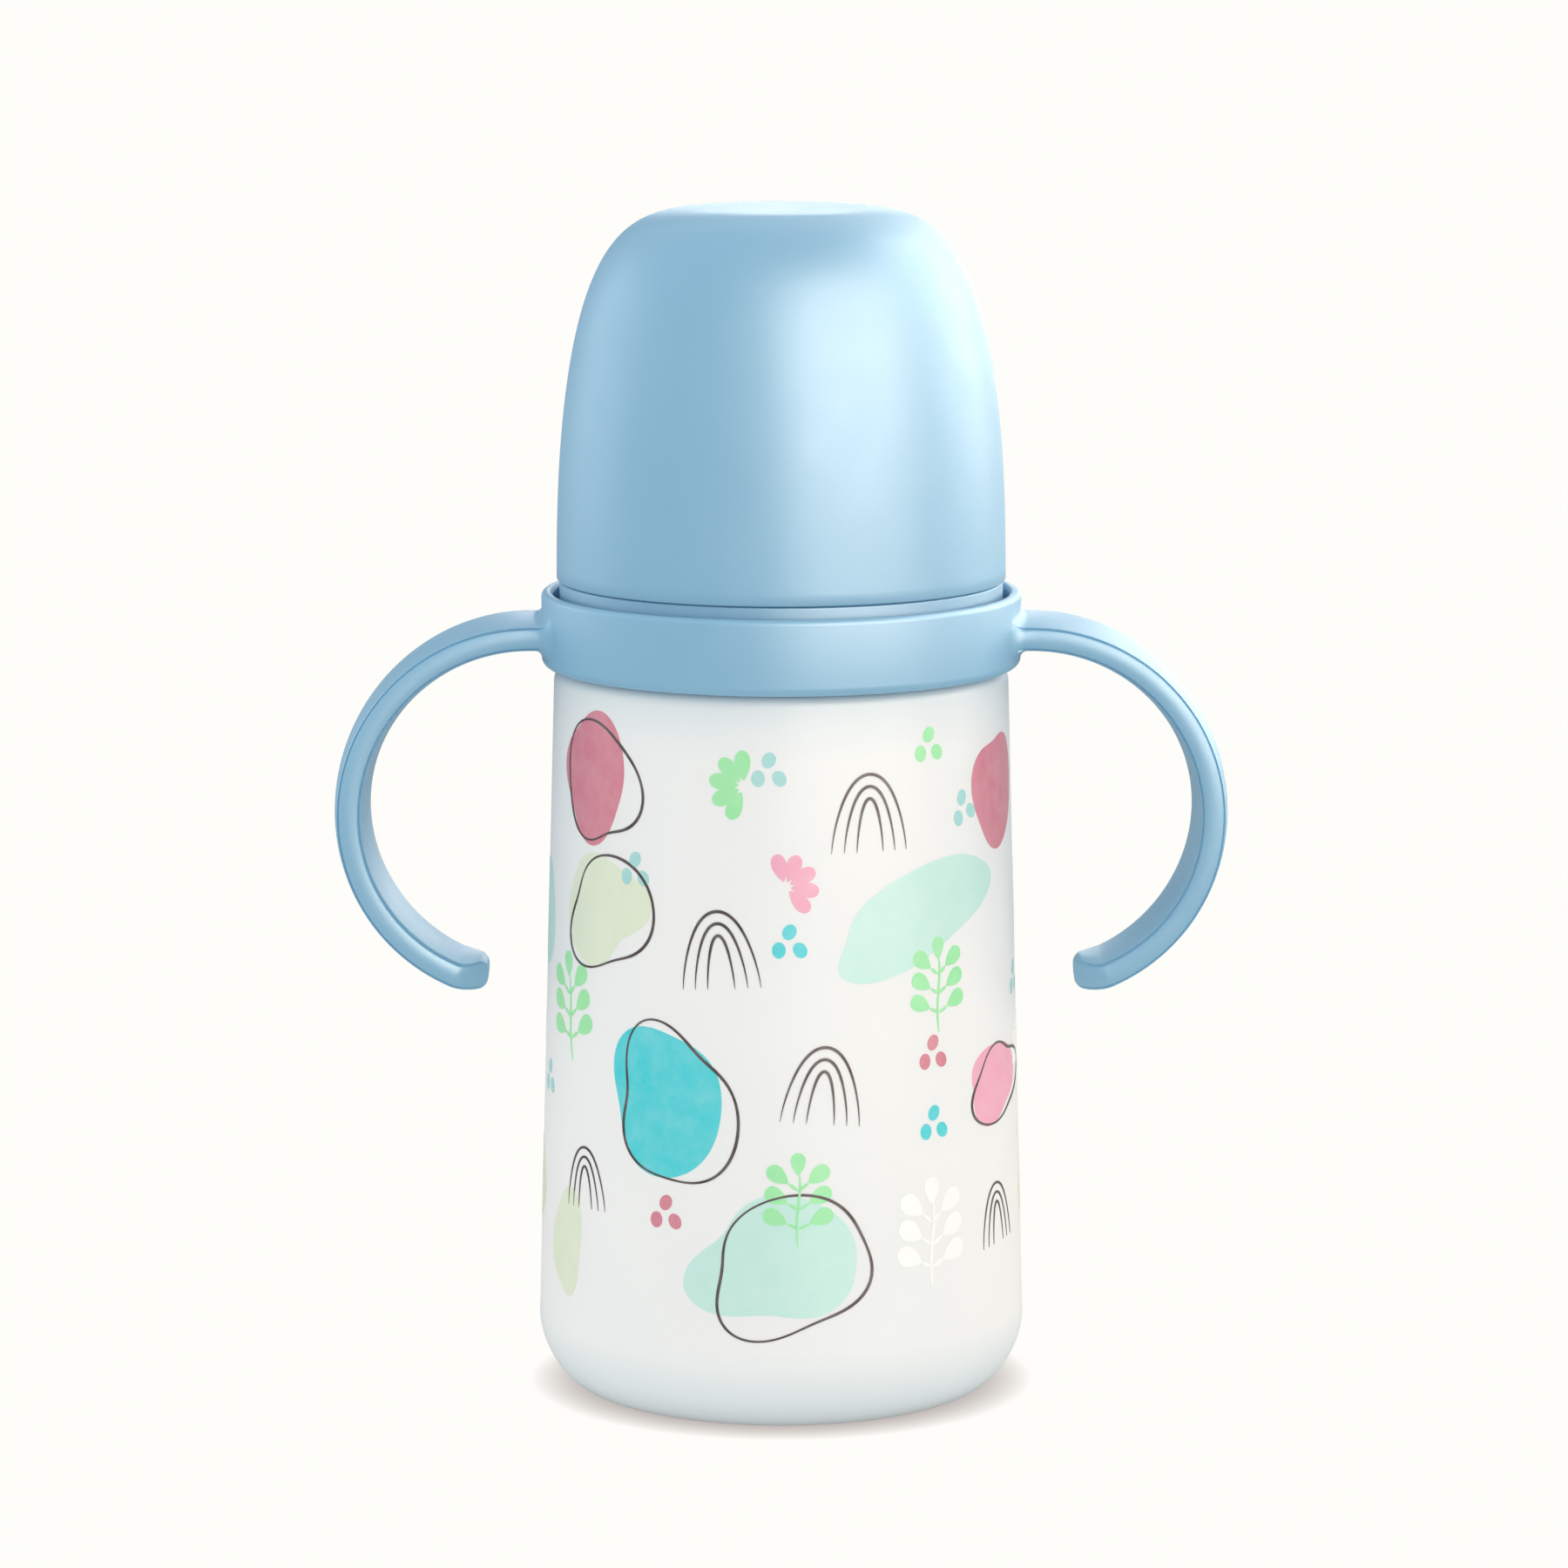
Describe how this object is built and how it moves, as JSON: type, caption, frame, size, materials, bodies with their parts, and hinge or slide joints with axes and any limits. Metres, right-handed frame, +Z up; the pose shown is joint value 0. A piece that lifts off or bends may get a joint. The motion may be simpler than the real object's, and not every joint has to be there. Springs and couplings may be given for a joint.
{
  "type": "baby bottle",
  "caption": "Wide-neck feeding bottle with a handle ring, a screw collar, a silicone teat and a push-on domed cap.",
  "frame": {"origin": "centre of the base, on the plane that the bottle stands on", "axes": "+Z up along the bottle's axis, +X along the right-hand handle, -Y towards the front"},
  "size_m": [0.1278, 0.07, 0.1696],
  "materials": {
    "bottle": "milky translucent polypropylene",
    "handle_ring": "satin pale blue moulded plastic",
    "collar": "satin pale blue moulded plastic",
    "teat": "translucent silicone",
    "cap": "satin pale blue moulded plastic"
  },
  "bodies": {
    "bottle": {"bottle": "bottle"},
    "handle_ring": {"handle_ring": "handle_ring"},
    "teat": {"teat": "teat"},
    "collar": {"collar": "collar"},
    "cap": {"cap": "cap"}
  },
  "joints": [
    {"name": "handle_swivel", "type": "hinge", "parent": "bottle", "child": "handle_ring", "pos_m": [0, 0, 0.105], "axis": [0, 0, 1], "continuous": true},
    {"name": "teat_rise", "type": "slide", "parent": "bottle", "child": "teat", "axis": [0, 0, 1], "range_m": [0, 0.0051]},
    {"name": "collar_turn", "type": "hinge", "parent": "teat", "child": "collar", "pos_m": [0, 0, 0.11], "axis": [0, 0, 1], "range_deg": [0, 360]},
    {"name": "cap_lift", "type": "slide", "parent": "collar", "child": "cap", "axis": [0, 0, 1], "range_m": [0, 0.06]}
  ],
  "couplings": [
    {"joint": "teat_rise", "follows": "collar_turn", "m_per_rad": 0.00079577}
  ]
}
